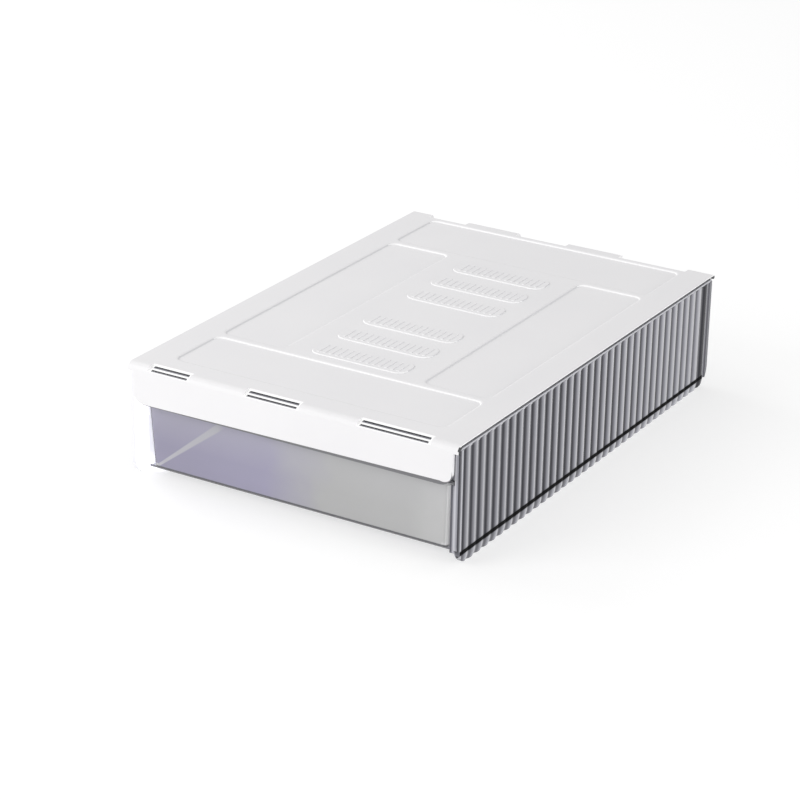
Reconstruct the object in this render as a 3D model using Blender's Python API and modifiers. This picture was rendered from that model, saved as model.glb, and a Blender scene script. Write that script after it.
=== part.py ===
"""A low storage drawer for the kitchen: a clear ribbed case under a white cover, with one clear tray that pulls out.

Frame: metres, +X to the right along the front, +Y to the back, +Z up. The origin is on the surface that the
case stands on, under the middle of the case. The front faces -Y.

The case snaps together from five mouldings: two side plates, a base plate, a back plate and the cover. The
side plates carry everything. Their inner faces hold the channels for the base and back plates, the rails over
the tray's rim, the stops and the catches for the cover's tongues.
"""

import math

import bmesh
import bpy
from mathutils import Matrix, Vector

# Overall sizes
WIDTH = 0.242
DEPTH = 0.355
HEIGHT = 0.081

# Fits
SEAT_GAP = 0.0003
RUNNING_GAP = 0.0005
OVERRUN = 0.002
ROOT = 0.0006

# Cover
COVER_THICKNESS = 0.0024
FRONT_EDGE_INNER_RADIUS = 0.0026
REAR_EDGE_INNER_RADIUS = 0.0006
EDGE_STEPS = 6
APRON_DROP = 0.0269
APRON_CORNER_RADIUS = 0.0085
SKIRT_DROP = 0.008
CORNER_STEPS = 6
LIP_THICKNESS = 0.0007
LIP_REACH = 0.0016
LIP_END_INSET = 0.004

# Recessed panels of the cover. The wall's (inset, drop), from its rim to the floor, are shares of the depth
PANEL_DEPTH = 0.0010
PANEL_RIM = 0.0013
PANEL_WALL_SHARES = ((0.0, 0.35), (0.45, 0.85), (0.9, 1.0))
PANEL_CORNER_RADIUS = 0.005
PANEL_CORNER_STEPS = 3
PANEL_SIDE_MARGIN = 0.0215
PANEL_GAP = 0.0055
FRONT_PANEL_MARGIN = 0.021
FRONT_PANEL_LENGTH = 0.048
REAR_PANEL_MARGIN = 0.0115
REAR_PANEL_LENGTH = 0.0525

# Raised cartouches between the side panels
CARTOUCHE_LENGTH = 0.071
CARTOUCHE_WIDTH = 0.020
CARTOUCHE_HEIGHT = 0.0005
CARTOUCHE_CORNER_RADIUS = 0.007
CARTOUCHE_SLOPE_SHARE = 0.7
CARTOUCHE_FIRST = 0.028
CARTOUCHE_PITCH = 0.031
CARTOUCHE_SIDE_GAP = 0.0165
BAR_END_MARGIN = 0.0055
BAR_PITCH = 0.0046
BAR_WIDTH = 0.0019
BAR_LENGTH = 0.013
BAR_HEIGHT = 0.00025

# Slot pockets in the front and rear edges. Their ends, (left, right), are shares of the width from the middle
POCKET_END_SHARES = ((-0.436, -0.308), (-0.136, 0.031), (0.2045, 0.4195))
POCKET_REACH = 0.0075
POCKET_DROP = 0.0032
SLIT_WIDTH = 0.0010
SLIT_MARGIN = 0.002
SLIT_FIRST = 0.0025
SLIT_SPACING = 0.0035
SLIT_DEPTH = 0.004

# Side plates
SIDE_THICKNESS = 0.0034
SIDE_REAR_INSET = 0.004
TOP_BAND = 0.0011
TOP_BAND_INSET = 0.0003
FLUTE_FRONT_MARGIN = 0.0047
FLUTE_REAR_MARGIN = 0.003
FLUTE_PITCH = 0.00944
FLUTE_DEPTH = 0.0012
GROOVE_WIDTH = 0.0014
FLUTE_STEPS = 4
SIDE_CORNER_RADIUS = 0.014
FOOT_HEIGHT = 0.0065
FOOT_CURL = 0.0012
FOOT_STEPS = 3

# Ribs and channels inside the side plates
RIB_THICKNESS = 0.0016
FRAME_INSET = 0.008
FRAME_GAP = 0.001
CHANNEL_REACH = 0.004
BASE_STOP_REACH = 0.002
LEDGE_REACH = 0.008
LEDGE_START = 0.019
RAIL_REACH = 0.0042
STOP_HEIGHT = 0.005

# Base and back plates
PLATE_THICKNESS = 0.0016
BASE_LIFT = 0.0045
BASE_RECESS = 0.015
BACK_MARGIN = 0.0035

# Tray
TRAY_WALL = 0.0016
TRAY_SIDE_GAP = 0.0029
TRAY_DRAFT = math.radians(2.8)
TRAY_RECESS = 0.0098
TRAY_REAR_GAP = 0.001
TRAY_EDGE_RADIUS = 0.0028
TRAY_EDGE_STEPS = 4
RIM_REACH = 0.0035
LUG_INSET = 0.078
LUG_LENGTH = 0.008
LUG_THICKNESS = 0.002
LUG_HEIGHT = 0.0036

# Tongues that snap the cover to the side plates
TONGUE_SHARES = (-0.33, -0.11, 0.11, 0.33)
TONGUE_LENGTH = 0.014
TONGUE_THICKNESS = 0.0016
TONGUE_DROP = 0.0096
NOSE_REACH = 0.0015
NOSE_HEIGHT = 0.0014
CATCH_REACH = 0.0018
CATCH_THICKNESS = 0.0014

# Places that follow from the sizes above
FRONT = -DEPTH / 2
REAR = DEPTH / 2
SIDE_FRONT = FRONT + COVER_THICKNESS + RUNNING_GAP
SIDE_REAR = REAR - SIDE_REAR_INSET
SIDE_OUTER = WIDTH / 2
SIDE_INNER = SIDE_OUTER - SIDE_THICKNESS
FRONT_EDGE_RADIUS = COVER_THICKNESS + FRONT_EDGE_INNER_RADIUS
REAR_EDGE_RADIUS = COVER_THICKNESS + REAR_EDGE_INNER_RADIUS
PANEL_OUTER = SIDE_OUTER - PANEL_SIDE_MARGIN
PANEL_INNER = CARTOUCHE_LENGTH / 2 + CARTOUCHE_SIDE_GAP
SIDE_PANEL_FRONT = FRONT + FRONT_PANEL_MARGIN + FRONT_PANEL_LENGTH + PANEL_GAP
SIDE_PANEL_REAR = REAR - REAR_PANEL_MARGIN - REAR_PANEL_LENGTH - PANEL_GAP
COVER_UNDERSIDE = HEIGHT - COVER_THICKNESS
SIDE_TOP = COVER_UNDERSIDE - SEAT_GAP
APRON_BOTTOM = HEIGHT - APRON_DROP
APRON_HALF = SIDE_INNER - SEAT_GAP
BASE_TOP = BASE_LIFT + PLATE_THICKNESS
BACK_REAR = SIDE_REAR - BACK_MARGIN
BACK_FRONT = BACK_REAR - PLATE_THICKNESS
TRAY_BOTTOM = BASE_TOP + SEAT_GAP
TRAY_REAR = BACK_FRONT - TRAY_REAR_GAP
RIM_TOP = APRON_BOTTOM - RUNNING_GAP
RIM_UNDERSIDE = RIM_TOP - TRAY_WALL
RAIL_UNDERSIDE = RIM_TOP + RUNNING_GAP
CATCH_UNDERSIDE = COVER_UNDERSIDE - TONGUE_DROP + NOSE_HEIGHT + RUNNING_GAP

# Colours in linear light, as (red, green, blue)
WHITE_PLASTIC = (0.83, 0.83, 0.84)
CLEAR_GREY_PLASTIC = (0.33, 0.33, 0.37)
CLEAR_TRAY_PLASTIC = (0.42, 0.42, 0.47)


def clear_scene():
    for obj in list(bpy.data.objects):
        bpy.data.objects.remove(obj)


def new_collection(name, parent):
    made = bpy.data.collections.new(name)
    parent.children.link(made)
    return made


def material(name, colour, roughness, alpha=1.0):
    made = bpy.data.materials.new(name)
    made.use_nodes = True
    shader = made.node_tree.nodes["Principled BSDF"]
    shader.inputs["Base Color"].default_value = (*colour, 1.0)
    shader.inputs["Roughness"].default_value = roughness
    shader.inputs["Metallic"].default_value = 0.0
    shader.inputs["Alpha"].default_value = alpha
    made.diffuse_color = (*colour, alpha)
    return made


def object_from(name, mesh, group):
    made = bpy.data.objects.new(name, mesh)
    group.objects.link(made)
    return made


def mesh_from(name, bm):
    bmesh.ops.recalc_face_normals(bm, faces=bm.faces)
    mesh = bpy.data.meshes.new(name)
    bm.to_mesh(mesh)
    bm.free()
    return mesh


def open_mesh_from(name, bm, up):
    """A mesh from an open surface whose widest face looks up (up is 1) or down (up is -1)."""
    bmesh.ops.recalc_face_normals(bm, faces=bm.faces)
    widest = max(bm.faces, key=lambda face: face.calc_area())
    if widest.normal.z * up < 0:
        bmesh.ops.reverse_faces(bm, faces=bm.faces)
    mesh = bpy.data.meshes.new(name)
    bm.to_mesh(mesh)
    bm.free()
    return mesh


def cube_between(low, high):
    """A box between two corners, as a bmesh."""
    low, high = Vector(low), Vector(high)
    size = high - low
    bm = bmesh.new()
    bmesh.ops.create_cube(bm, size=1.0)
    bmesh.ops.scale(bm, vec=size, verts=bm.verts)
    bmesh.ops.translate(bm, vec=(low + high) / 2, verts=bm.verts)
    return bm


def edges_along(bm, axis, keep):
    """The edges that run along an axis and whose middle passes the test."""
    found = []
    for edge in bm.edges:
        run = edge.verts[1].co - edge.verts[0].co
        across = run.length_squared - run[axis] ** 2
        middle = (edge.verts[0].co + edge.verts[1].co) / 2
        if across < run.length_squared / 2 and keep(middle):
            found.append(edge)
    return found


def round_upright_edges(bm, radius, steps):
    edges = edges_along(bm, 2, lambda middle: True)
    bmesh.ops.bevel(bm, geom=edges, offset=radius, segments=steps, profile=0.5, affect="EDGES")


def slope_face_edges(bm, up, width, steps=1):
    """Bevels the edges round the face that looks up (up is 1) or down (up is -1)."""
    face = max(bm.faces, key=lambda face: face.calc_area() * (face.normal.z * up > 0.5))
    bmesh.ops.bevel(bm, geom=list(face.edges), offset=width, segments=steps, profile=0.5, affect="EDGES")


def block(name, low, high, group):
    return object_from(name, mesh_from(name, cube_between(low, high)), group)


def tilted_block(name, low, high, origin, angle, group):
    """A box in a frame of its own, turned about X and moved to its origin."""
    bm = cube_between(low, high)
    bmesh.ops.transform(bm, matrix=Matrix.Translation(origin) @ Matrix.Rotation(angle, 4, "X"), verts=bm.verts)
    return object_from(name, mesh_from(name, bm), group)


def arc(centre, radius, start, end, steps):
    """Points on a circle, from one angle in degrees to another."""
    points = []
    for step in range(steps + 1):
        angle = math.radians(start + (end - start) * step / steps)
        points.append((centre[0] + radius * math.cos(angle), centre[1] + radius * math.sin(angle)))
    return points


# A flat outline's own X and Y axes lie along the two named axes of the case, and it is extruded along the third.
PLANES = {
    "XY": Matrix(((1, 0, 0), (0, 1, 0), (0, 0, 1))),
    "YZ": Matrix(((0, 0, 1), (1, 0, 0), (0, 1, 0))),
    "XZ": Matrix(((1, 0, 0), (0, 0, -1), (0, 1, 0))),
}


def prism(name, outline, plane, low, high, group):
    """A flat outline, filled and extruded from low to high along the axis square to its plane."""
    turn = PLANES[plane]
    ends = (-high, -low) if plane == "XZ" else (low, high)
    bm = bmesh.new()
    base = bm.faces.new([bm.verts.new(turn @ Vector((across, along, ends[0]))) for across, along in outline])
    drawn = bmesh.ops.extrude_face_region(bm, geom=[base])
    moved = [item for item in drawn["geom"] if isinstance(item, bmesh.types.BMVert)]
    bmesh.ops.translate(bm, vec=turn @ Vector((0, 0, ends[1] - ends[0])), verts=moved)
    return object_from(name, mesh_from(name, bm), group)


def spandrel(corner, turn_u, turn_v, radius, steps):
    """The outline of what a rounded corner leaves off. turn_u and turn_v (1 or -1) point into the piece.

    The first and last facets run past the corner's two faces, so that the cut crosses each face at an angle.
    """
    centre = (radius, radius)
    curve = [
        (radius * (1 - math.sin(angle)), radius * (1 - math.cos(angle)))
        for angle in (math.pi / 2 * step / steps for step in range(steps + 1))
    ]
    slope = math.tan(math.pi / 4 / steps)
    first, last = (centre[0] + OVERRUN, -OVERRUN * slope), (-OVERRUN * slope, centre[1] + OVERRUN)
    outline = [(-OVERRUN, -OVERRUN), (first[0], -OVERRUN), first, *curve[1:-1], last, (-OVERRUN, last[1])]
    return [(corner[0] + turn_u * u, corner[1] + turn_v * v) for u, v in outline]


def combine(obj, operation, helpers):
    """Cuts the helpers from the object, or joins them to it, with one Boolean."""
    group = new_collection(f"{obj.name} {operation.lower()}", shaping)
    for helper in helpers:
        for old in list(helper.users_collection):
            old.objects.unlink(helper)
        group.objects.link(helper)
        helper.hide_render = True
        helper.display_type = "WIRE"
    boolean = obj.modifiers.new(operation.title(), "BOOLEAN")
    boolean.operation = operation
    boolean.solver = "EXACT"
    boolean.operand_type = "COLLECTION"
    boolean.collection = group


def settle(obj):
    """Replaces the object's mesh with what its modifiers make of it."""
    bpy.context.view_layer.update()
    evaluated = obj.evaluated_get(bpy.context.evaluated_depsgraph_get())
    mesh = bpy.data.meshes.new_from_object(evaluated)
    mesh.name = obj.name
    obj.modifiers.clear()
    obj.data = mesh


def finish_piece(obj, skin):
    obj.data.materials.clear()
    obj.data.materials.append(skin)
    obj.data.shade_smooth()
    obj.data.set_sharp_from_angle(angle=math.radians(30))


# Cover


def cover_section():
    """The cover's outer line from the foot of the rear skirt, over the top, to the foot of the apron, as (y, z)."""
    rear_edge = arc((REAR - REAR_EDGE_RADIUS, HEIGHT - REAR_EDGE_RADIUS), REAR_EDGE_RADIUS, 0, 90, EDGE_STEPS)
    front_edge = arc((FRONT + FRONT_EDGE_RADIUS, HEIGHT - FRONT_EDGE_RADIUS), FRONT_EDGE_RADIUS, 90, 180, EDGE_STEPS)
    return [(REAR, HEIGHT - SKIRT_DROP), *rear_edge, *front_edge, (FRONT, APRON_BOTTOM)]


def cover_sheet():
    """The cover's outer surface, one open sheet drawn out along X from its section."""
    bm = bmesh.new()
    points = [bm.verts.new((-SIDE_OUTER, y, z)) for y, z in cover_section()]
    line = [bm.edges.new(pair) for pair in zip(points, points[1:])]
    drawn = bmesh.ops.extrude_edge_only(bm, edges=line)
    moved = [item for item in drawn["geom"] if isinstance(item, bmesh.types.BMVert)]
    bmesh.ops.translate(bm, vec=(WIDTH, 0, 0), verts=moved)
    return bm


def beside_plates(side, end, radius):
    """What the apron or the skirt leaves free for the side plate, under its rounded edge."""
    inward = -1 if end > 0 else 1
    y_outer = end - inward * OVERRUN
    y_inner = end + inward * (COVER_THICKNESS + OVERRUN)
    low_y, high_y = min(y_outer, y_inner), max(y_outer, y_inner)
    low_x, high_x = sorted((side * APRON_HALF, side * (SIDE_OUTER + OVERRUN)))
    low = (low_x, low_y, APRON_BOTTOM - OVERRUN)
    high = (high_x, high_y, HEIGHT - radius)
    return block("side plate room", low, high, shaping)


def apron_corner(side):
    outline = spandrel((side * APRON_HALF, APRON_BOTTOM), -side, 1, APRON_CORNER_RADIUS, CORNER_STEPS)
    return prism("apron corner", outline, "XZ", FRONT - OVERRUN, FRONT + COVER_THICKNESS + OVERRUN, shaping)


def lip_room(side):
    """The step under the cover's side edge. It leaves a thin lip, with a gap below it and above the side plate."""
    low_x, high_x = sorted((side * (SIDE_OUTER - LIP_REACH), side * (SIDE_OUTER + OVERRUN)))
    low = (low_x, FRONT + LIP_END_INSET, COVER_UNDERSIDE - OVERRUN)
    high = (high_x, REAR - LIP_END_INSET, HEIGHT - LIP_THICKNESS)
    return block("lip room", low, high, shaping)


def panel_ring(left, right, front, rear, grow, z):
    """A level rectangle with rounded corners, grown outwards, as points."""
    points = []
    for x, y, start in ((right, rear, 0), (left, rear, 90), (left, front, 180), (right, front, 270)):
        turn = math.radians(start + 45)
        centre = (
            x - math.copysign(PANEL_CORNER_RADIUS, math.cos(turn)),
            y - math.copysign(PANEL_CORNER_RADIUS, math.sin(turn)),
        )
        corner = arc(centre, PANEL_CORNER_RADIUS + grow, start, start + 90, PANEL_CORNER_STEPS)
        points += [(*point, z) for point in corner]
    return points


def panel_cutter(left, right, front, rear):
    """A shallow panel with rounded corners. Its wall starts at a gentle rim and ends in a soft foot."""
    rim_drop = PANEL_DEPTH * PANEL_WALL_SHARES[0][1]
    levels = [(2 * PANEL_RIM, HEIGHT + rim_drop)]
    levels += [(-inset * PANEL_DEPTH, HEIGHT - drop * PANEL_DEPTH) for inset, drop in PANEL_WALL_SHARES]
    bm = bmesh.new()
    rings = [[bm.verts.new(point) for point in panel_ring(left, right, front, rear, *level)] for level in levels]
    for upper, lower in zip(rings, rings[1:]):
        for number in range(len(upper)):
            bm.faces.new((upper[number - 1], upper[number], lower[number], lower[number - 1]))
    bm.faces.new(rings[0])
    bm.faces.new(rings[-1])
    return object_from("panel", mesh_from("panel", bm), shaping)


def panel_cutters():
    return [
        panel_cutter(-PANEL_OUTER, PANEL_OUTER, FRONT + FRONT_PANEL_MARGIN, SIDE_PANEL_FRONT - PANEL_GAP),
        panel_cutter(-PANEL_OUTER, PANEL_OUTER, SIDE_PANEL_REAR + PANEL_GAP, REAR - REAR_PANEL_MARGIN),
        panel_cutter(-PANEL_OUTER, -PANEL_INNER, SIDE_PANEL_FRONT, SIDE_PANEL_REAR),
        panel_cutter(PANEL_INNER, PANEL_OUTER, SIDE_PANEL_FRONT, SIDE_PANEL_REAR),
    ]


def cartouche(middle_y):
    """A raised pad with rounded ends, and the short bars that stand on it."""
    low = (-CARTOUCHE_LENGTH / 2, middle_y - CARTOUCHE_WIDTH / 2, HEIGHT - PANEL_DEPTH - ROOT)
    high = (CARTOUCHE_LENGTH / 2, middle_y + CARTOUCHE_WIDTH / 2, HEIGHT + CARTOUCHE_HEIGHT)
    bm = cube_between(low, high)
    round_upright_edges(bm, CARTOUCHE_CORNER_RADIUS, PANEL_CORNER_STEPS)
    slope_face_edges(bm, 1, CARTOUCHE_HEIGHT * CARTOUCHE_SLOPE_SHARE)
    pieces = [object_from("cartouche", mesh_from("cartouche", bm), shaping)]
    gaps = int((CARTOUCHE_LENGTH - 2 * BAR_END_MARGIN) / BAR_PITCH)
    for number in range(gaps + 1):
        x = (number - gaps / 2) * BAR_PITCH
        bar_low = (x - BAR_WIDTH / 2, middle_y - BAR_LENGTH / 2, HEIGHT + CARTOUCHE_HEIGHT / 2)
        bar_high = (x + BAR_WIDTH / 2, middle_y + BAR_LENGTH / 2, HEIGHT + CARTOUCHE_HEIGHT + BAR_HEIGHT)
        pieces.append(block("bar", bar_low, bar_high, shaping))
    return pieces


def cartouches():
    """Two groups, in front of the middle and behind it, as long as the side panels beside them."""
    pieces = []
    room = (SIDE_PANEL_REAR - SIDE_PANEL_FRONT) / 2 - CARTOUCHE_FIRST
    for number in range(int(room / CARTOUCHE_PITCH) + 1):
        away = CARTOUCHE_FIRST + number * CARTOUCHE_PITCH
        pieces += cartouche(-away) + cartouche(away)
    return pieces


def pocket_cutters(side):
    """The slot pockets of the front edge (side -1) or the rear edge (side 1), each with its two slits."""
    angle = -side * math.atan2(POCKET_DROP, POCKET_REACH)
    slope = math.hypot(POCKET_DROP, POCKET_REACH)
    origin = (0, side * (DEPTH / 2 - POCKET_REACH), HEIGHT)
    cutters = []
    for left, right in ((WIDTH * left, WIDTH * right) for left, right in POCKET_END_SHARES):
        y_ends = sorted((-side * OVERRUN, side * (slope + OVERRUN)))
        low = (left, y_ends[0], 0)
        high = (right, y_ends[1], POCKET_REACH)
        cutters.append(tilted_block("pocket", low, high, origin, angle, shaping))
        for number in range(2):
            middle = side * (SLIT_FIRST + number * SLIT_SPACING)
            low = (left + SLIT_MARGIN, middle - SLIT_WIDTH / 2, -SLIT_DEPTH)
            high = (right - SLIT_MARGIN, middle + SLIT_WIDTH / 2, OVERRUN)
            cutters.append(tilted_block("slit", low, high, origin, angle, shaping))
    return cutters


def tongues(side):
    """The hooked tongues that reach down from the cover and snap under the side plate's catches."""
    pieces = []
    outer = SIDE_INNER - CATCH_REACH - RUNNING_GAP
    bottom = COVER_UNDERSIDE - TONGUE_DROP
    for share in TONGUE_SHARES:
        middle = share * DEPTH
        start, end = middle - TONGUE_LENGTH / 2, middle + TONGUE_LENGTH / 2
        leaf_x = sorted((side * (outer - TONGUE_THICKNESS), side * outer))
        nose_x = sorted((side * (outer - TONGUE_THICKNESS / 2), side * (outer + NOSE_REACH)))
        pieces.append(block("tongue", (leaf_x[0], start, bottom), (leaf_x[1], end, COVER_UNDERSIDE + ROOT), shaping))
        pieces.append(block("nose", (nose_x[0], start, bottom), (nose_x[1], end, bottom + NOSE_HEIGHT), shaping))
    return pieces


def make_cover():
    cover = object_from("top_cover", open_mesh_from("top_cover", cover_sheet(), 1), parts)
    shell = cover.modifiers.new("Wall", "SOLIDIFY")
    shell.thickness = COVER_THICKNESS
    shell.offset = -1
    shell.use_even_offset = True
    room = [beside_plates(side, FRONT, FRONT_EDGE_RADIUS) for side in (-1, 1)]
    room += [beside_plates(side, REAR, REAR_EDGE_RADIUS) for side in (-1, 1)]
    room += [apron_corner(side) for side in (-1, 1)]
    room += [lip_room(side) for side in (-1, 1)]
    combine(cover, "DIFFERENCE", room + panel_cutters() + pocket_cutters(-1) + pocket_cutters(1))
    combine(cover, "UNION", cartouches() + tongues(-1) + tongues(1))
    settle(cover)
    finish_piece(cover, material("White moulded plastic", WHITE_PLASTIC, 0.35))


# Side plates


def foot_curl(z):
    """How far the wall curls inwards at a height, down to the foot edge that the case stands on."""
    return FOOT_CURL * max(0, 1 - z / FOOT_HEIGHT) ** 2


def fluted_outline():
    """The right side plate from above: a flat inner face, plain ends, and ribs with a narrow groove between two."""
    valley = SIDE_OUTER - FLUTE_DEPTH
    chord = FLUTE_PITCH - GROOVE_WIDTH
    radius = (chord / 2) ** 2 / (2 * FLUTE_DEPTH) + FLUTE_DEPTH / 2
    half_angle = math.asin(chord / 2 / radius)
    start = SIDE_FRONT + FLUTE_FRONT_MARGIN
    count = int((SIDE_REAR - FLUTE_REAR_MARGIN - start) / FLUTE_PITCH)
    end = start + count * FLUTE_PITCH
    points = [(SIDE_INNER, SIDE_REAR), (SIDE_INNER, SIDE_FRONT), (SIDE_OUTER, SIDE_FRONT)]
    points += [(SIDE_OUTER, start - GROOVE_WIDTH / 2), (valley, start - GROOVE_WIDTH / 2)]
    for number in range(count):
        middle = start + (number + 0.5) * FLUTE_PITCH
        for step in range(FLUTE_STEPS + 1):
            angle = half_angle * (2 * step / FLUTE_STEPS - 1)
            points.append((SIDE_OUTER - radius * (1 - math.cos(angle)), middle + radius * math.sin(angle)))
    points += [(valley, end + GROOVE_WIDTH / 2), (SIDE_OUTER, end + GROOVE_WIDTH / 2), (SIDE_OUTER, SIDE_REAR)]
    return points


def curl_foot(mesh):
    """Cuts rows into the foot of the wall and moves them inwards along a curve."""
    bm = bmesh.new()
    bm.from_mesh(mesh)
    for step in range(1, FOOT_STEPS + 1):
        level = (0, 0, FOOT_HEIGHT * step / FOOT_STEPS)
        bmesh.ops.bisect_plane(bm, geom=[*bm.verts, *bm.edges, *bm.faces], plane_co=level, plane_no=(0, 0, 1))
    for vert in bm.verts:
        vert.co.x -= foot_curl(vert.co.z)
    bm.to_mesh(mesh)
    bm.free()


def edge_room():
    """The outline in Y and Z of what the side plate leaves free for the cover's rounded front edge."""
    inner = max(FRONT_EDGE_RADIUS - COVER_THICKNESS - SEAT_GAP, 0)
    centre = (FRONT + FRONT_EDGE_RADIUS, HEIGHT - FRONT_EDGE_RADIUS)
    outside = FRONT - OVERRUN
    floor = centre[1] - SEAT_GAP
    top = SIDE_TOP + OVERRUN
    curve = arc(centre, inner, 180, 90, EDGE_STEPS)[1:]
    return [(outside, floor), (centre[0] - inner, floor), *curve, (centre[0], top), (outside, top)]


def side_rib(name, reach, y_start, y_end, z_low, z_high):
    """A rib on the right side plate's inner face. The y values are measured from the front."""
    low = (SIDE_INNER - reach, FRONT + y_start, z_low)
    high = (SIDE_INNER + ROOT, FRONT + y_end, z_high)
    return block(name, low, high, shaping)


def side_ribs():
    """The ribs on the inner face. Where two meet, one ends halfway into the other."""
    half_rib = RIB_THICKNESS / 2
    frame_end = FRAME_INSET + RIB_THICKNESS
    ledge_top = BASE_LIFT - SEAT_GAP
    ledge_bottom = ledge_top - RIB_THICKNESS
    bead_bottom = BASE_TOP + SEAT_GAP
    bead_top = bead_bottom + RIB_THICKNESS
    base_start = BASE_RECESS - SEAT_GAP
    back_front = BACK_FRONT - SEAT_GAP - FRONT
    back_rear = BACK_REAR + SEAT_GAP - FRONT
    channel_start, channel_end = back_front - RIB_THICKNESS, back_rear + RIB_THICKNESS
    channel_top = SIDE_TOP - TOP_BAND - RIB_THICKNESS
    frame_reach = TRAY_SIDE_GAP + RIM_REACH - FRAME_GAP
    stop_reach = RAIL_REACH + RUNNING_GAP + LUG_THICKNESS
    ribs = [
        side_rib("base ledge", LEDGE_REACH, LEDGE_START, back_rear + half_rib, ledge_bottom, ledge_top),
        side_rib("base bead", CHANNEL_REACH, BASE_RECESS, channel_start + half_rib, bead_bottom, bead_top),
        side_rib("base stop", BASE_STOP_REACH, base_start - RIB_THICKNESS, base_start, BASE_LIFT, bead_top),
        side_rib("front frame", frame_reach, FRAME_INSET, frame_end, bead_bottom, RIM_UNDERSIDE - RUNNING_GAP),
        side_rib("rear channel", CHANNEL_REACH, back_rear, channel_end, ledge_top - half_rib, channel_top),
        side_rib("rear bead", CHANNEL_REACH, channel_start, back_front, bead_bottom + half_rib, channel_top),
        side_rib(
            "rail",
            RAIL_REACH,
            FRAME_INSET + half_rib,
            channel_start + half_rib,
            RAIL_UNDERSIDE,
            RAIL_UNDERSIDE + RIB_THICKNESS,
        ),
        side_rib(
            "travel stop",
            stop_reach,
            FRAME_INSET,
            frame_end,
            RAIL_UNDERSIDE + half_rib,
            RAIL_UNDERSIDE + STOP_HEIGHT,
        ),
    ]
    for share in TONGUE_SHARES:
        start = share * DEPTH - FRONT - TONGUE_LENGTH / 2
        catch_top = CATCH_UNDERSIDE + CATCH_THICKNESS
        ribs.append(side_rib("catch", CATCH_REACH, start, start + TONGUE_LENGTH, CATCH_UNDERSIDE, catch_top))
    return ribs


def top_band():
    """The plain band along the top of the side plate, where the flutes end. It is set in a little all round."""
    low = (SIDE_INNER + TOP_BAND_INSET, SIDE_FRONT, SIDE_TOP - TOP_BAND - ROOT)
    high = (SIDE_OUTER - TOP_BAND_INSET, SIDE_REAR - TOP_BAND_INSET, SIDE_TOP)
    return block("top band", low, high, shaping)


def side_cutters():
    through = (SIDE_INNER - LEDGE_REACH - OVERRUN, SIDE_OUTER + OVERRUN)
    outlines = [
        spandrel((SIDE_FRONT, 0), 1, 1, SIDE_CORNER_RADIUS, CORNER_STEPS),
        spandrel((SIDE_REAR, 0), -1, 1, SIDE_CORNER_RADIUS, CORNER_STEPS),
        edge_room(),
    ]
    return [prism("side corner", outline, "YZ", *through, shaping) for outline in outlines]


def mirrored_mesh(mesh):
    """The same moulding for the other side."""
    made = mesh.copy()
    made.transform(Matrix.Scale(-1, 4, (1, 0, 0)))
    made.flip_normals()
    return made


def make_side_plates():
    right = prism("side_plate_right", fluted_outline(), "XY", 0, SIDE_TOP - TOP_BAND, parts)
    curl_foot(right.data)
    combine(right, "UNION", [top_band(), *side_ribs()])
    combine(right, "DIFFERENCE", side_cutters())
    settle(right)
    left = object_from("side_plate_left", mirrored_mesh(right.data), parts)
    finish_piece(right, material("Clear grey plastic, right side", CLEAR_GREY_PLASTIC, 0.15, 0.6))
    finish_piece(left, material("Clear grey plastic, left side", CLEAR_GREY_PLASTIC, 0.15, 0.6))


# Base plate and back plate


def make_base_plate():
    half = SIDE_INNER - foot_curl(BASE_LIFT) - SEAT_GAP
    base = block("base_plate", (-half, FRONT + BASE_RECESS, BASE_LIFT), (half, BACK_REAR, BASE_TOP), parts)
    finish_piece(base, material("Clear grey plastic, base", CLEAR_GREY_PLASTIC, 0.15, 0.6))


def make_back_plate():
    half = SIDE_INNER - SEAT_GAP
    back = block("back_plate", (-half, BACK_FRONT, BASE_TOP + SEAT_GAP), (half, BACK_REAR, SIDE_TOP), parts)
    finish_piece(back, material("Clear grey plastic, back", CLEAR_GREY_PLASTIC, 0.15, 0.6))


# Tray


def tray_surface():
    """The tray's outer surface, open at the top: drafted walls, rounded edges and a rim turned outwards."""
    draft = math.tan(TRAY_DRAFT)
    flare = (RIM_UNDERSIDE - TRAY_BOTTOM) * draft
    half_x = SIDE_INNER - TRAY_SIDE_GAP - RIM_REACH
    front = FRONT + TRAY_RECESS - flare
    rear = TRAY_REAR - RIM_REACH
    half_y = (rear - front) / 2
    core_x, core_y = half_x - TRAY_EDGE_RADIUS, half_y - TRAY_EDGE_RADIUS
    bm = cube_between((-half_x, -half_y, TRAY_BOTTOM), (half_x, half_y, RIM_UNDERSIDE))
    lid = max(bm.faces, key=lambda face: face.calc_center_median().z)
    bmesh.ops.delete(bm, geom=[lid], context="FACES_ONLY")
    edges = [edge for edge in bm.edges if not edge.is_boundary]
    bmesh.ops.bevel(
        bm, geom=edges, offset=TRAY_EDGE_RADIUS, segments=TRAY_EDGE_STEPS, profile=0.5, affect="EDGES"
    )
    mouth = [edge for edge in bm.edges if edge.is_boundary]
    turned = bmesh.ops.extrude_edge_only(bm, edges=mouth)
    for vert in [item for item in turned["geom"] if isinstance(item, bmesh.types.BMVert)]:
        core = Vector((math.copysign(core_x, vert.co.x), math.copysign(core_y, vert.co.y), vert.co.z))
        vert.co += (vert.co - core).normalized() * RIM_REACH
    for vert in bm.verts:
        inwards = (RIM_UNDERSIDE - vert.co.z) * draft
        vert.co.x -= math.copysign(inwards, vert.co.x)
        vert.co.y -= math.copysign(inwards, vert.co.y)
    bmesh.ops.translate(bm, vec=(0, (front + rear) / 2, 0), verts=bm.verts)
    return bm


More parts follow.
